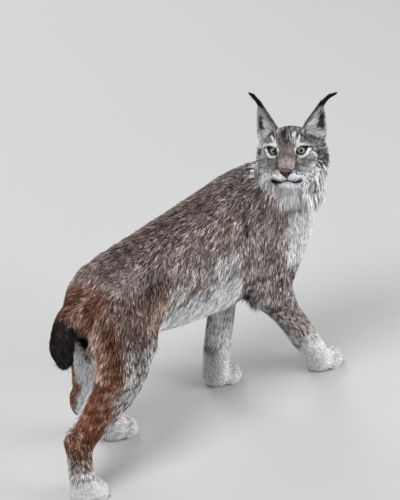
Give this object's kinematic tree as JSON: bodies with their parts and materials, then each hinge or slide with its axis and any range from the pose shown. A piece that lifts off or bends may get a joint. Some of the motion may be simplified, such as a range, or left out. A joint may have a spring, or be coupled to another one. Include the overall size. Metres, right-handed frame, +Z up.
{
  "type": "eurasian lynx",
  "caption": "Life-size still model of a Eurasian lynx in its winter coat, standing in mid-stride with its head turned back over the right shoulder.",
  "frame": {"origin": "on the floor, under the middle of the whole animal's bounding box", "axes": "+X the way the trunk points, from tail to chest; +Y the animal's left; +Z up"},
  "size_m": [0.9236, 0.3006, 0.7809],
  "materials": {
    "coat_back": "grizzled grey-brown winter fur with a reddish tint",
    "coat_rust": "rusty brown fur",
    "coat_leg": "grey-brown fur with dark spots, rusty behind the thigh, pale inside",
    "coat_paw": "short whitish fur",
    "coat_face": "short grey fur with dark streaks, white about the eyes and mouth",
    "coat_ruff": "long whitish ruff fur with dark bars",
    "coat_black": "black fur",
    "nose_leather": "bare pinkish brown nose leather",
    "eye_glass": "wet yellow-olive eye with a round pupil"
  },
  "bodies": {
    "root": {"rump": "coat_back", "loin": "coat_back", "chest": "coat_back", "neck": "coat_back", "tail": "coat_rust", "hind_thigh_left": "coat_leg", "hind_thigh_right": "coat_leg", "hind_shank_left": "coat_leg", "hind_shank_right": "coat_leg", "hind_foot_left": "coat_leg", "hind_foot_right": "coat_leg", "fore_arm_left": "coat_leg", "fore_arm_right": "coat_leg", "fore_forearm_left": "coat_leg", "fore_forearm_right": "coat_leg", "hind_paw_left": "coat_paw", "hind_paw_right": "coat_paw", "fore_paw_left": "coat_paw", "fore_paw_right": "coat_paw", "head": "coat_face", "ear_left": "coat_face", "ear_right": "coat_face", "ruff_left": "coat_ruff", "ruff_right": "coat_ruff", "tail_tip": "coat_black", "ear_tuft_left": "coat_black", "ear_tuft_right": "coat_black", "nose": "nose_leather", "eye_left": "eye_glass", "eye_right": "eye_glass"}
  },
  "joints": []
}
